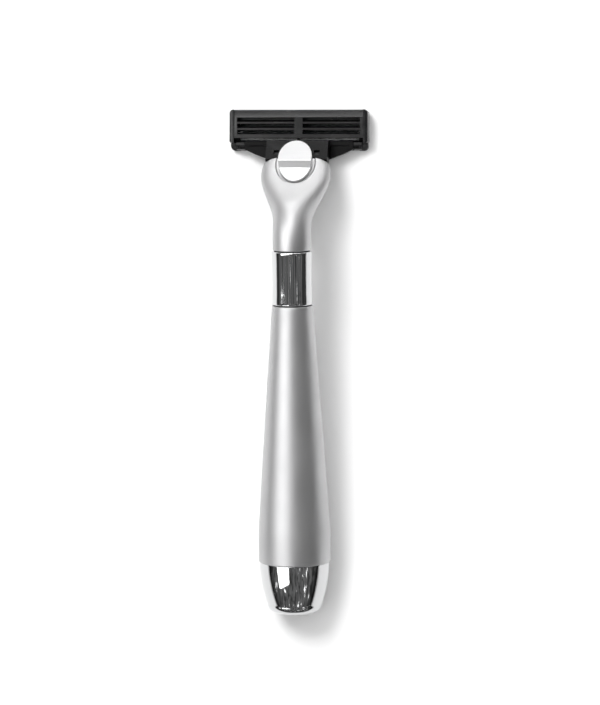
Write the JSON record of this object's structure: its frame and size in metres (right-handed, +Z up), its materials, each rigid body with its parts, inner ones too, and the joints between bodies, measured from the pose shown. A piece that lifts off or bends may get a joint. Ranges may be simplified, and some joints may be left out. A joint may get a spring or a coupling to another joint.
{
  "type": "cartridge razor",
  "caption": "Wet-shaving razor: tapered satin metal handle with polished collar and end cap, a curved head with an oval release button, and a pivoting slotted blade cartridge on a yoke.",
  "frame": {"origin": "the middle of the razor's footprint on the table it lies on, blades down: the bottom centre of its box", "axes": "+Y from the end cap towards the cartridge, +Z up away from the table, +X across the cartridge"},
  "size_m": [0.0414, 0.1502, 0.0294],
  "materials": {
    "satin_metal": "satin",
    "polished_chrome": "mirror polished",
    "button_metal": "bright satin",
    "black_plastic": "moulded, fine texture",
    "yoke_plastic": "moulded, semi-gloss",
    "cartridge_plastic": "moulded, fine texture",
    "clip_black": "semi-gloss",
    "fin_rubber": "matte",
    "seal_rubber": "matte",
    "strip_plastic": "waxy",
    "blade_steel": "ground and polished",
    "plain_steel": "machined",
    "spring_steel": "drawn wire",
    "weight_brass": "machined"
  },
  "bodies": {
    "handle": {"neck_shell": "satin_metal", "nose_block": "black_plastic", "nose_screws": "plain_steel", "plunger_spring": "spring_steel", "spring_plug": "plain_steel", "button_spring_left": "spring_steel", "button_spring_right": "spring_steel", "collar_ring": "polished_chrome", "neck_gasket": "seal_rubber", "body_gasket": "seal_rubber", "centring_sleeve": "plain_steel", "handle_body": "satin_metal", "tie_rod": "plain_steel", "lock_washer": "spring_steel", "tie_nut": "plain_steel", "balance_weight": "weight_brass", "end_cap": "polished_chrome", "cap_o_ring": "seal_rubber"},
    "button": {"release_button": "button_metal", "ejector_fork": "black_plastic", "button_rivet": "plain_steel"},
    "plunger": {"plunger": "black_plastic"},
    "yoke": {"yoke": "yoke_plastic"},
    "cartridge": {"cartridge_frame": "cartridge_plastic", "guard_fins": "fin_rubber", "lubricating_strip": "strip_plastic", "end_clip_left": "clip_black", "end_clip_right": "clip_black", "blade_1": "blade_steel", "blade_2": "blade_steel", "blade_3": "blade_steel", "blade_support_1": "plain_steel", "blade_support_2": "plain_steel", "blade_support_3": "plain_steel"}
  },
  "joints": [
    {"name": "release_slide", "type": "slide", "parent": "handle", "child": "button", "axis": [0, 0.8192, -0.5736], "range_m": [0, 0.0035], "stiffness_N_per_m": 250, "springref_m": -0.002, "deforming": ["button_spring_left", "button_spring_right"]},
    {"name": "refill_release", "type": "slide", "parent": "handle", "child": "yoke", "axis": [0, 0.8192, -0.5736], "range_m": [0, 0.0035]},
    {"name": "cartridge_pivot", "type": "hinge", "parent": "yoke", "child": "cartridge", "pos_m": [0, 0.0642, 0.0042], "axis": [1, 0, 0], "range_deg": [-25, 15], "stiffness_Nm_per_rad": 0.0025, "springref_deg": -24.64},
    {"name": "plunger_slide", "type": "slide", "parent": "handle", "child": "plunger", "axis": [0, 0.8192, -0.5736], "range_m": [-0.0006, 0.0009], "deforming": ["plunger_spring"]}
  ],
  "couplings": [
    {"joint": "refill_release", "follows": "release_slide", "ratio": 1},
    {"joint": "plunger_slide", "follows": "cartridge_pivot", "m_per_rad": -0.00182}
  ]
}
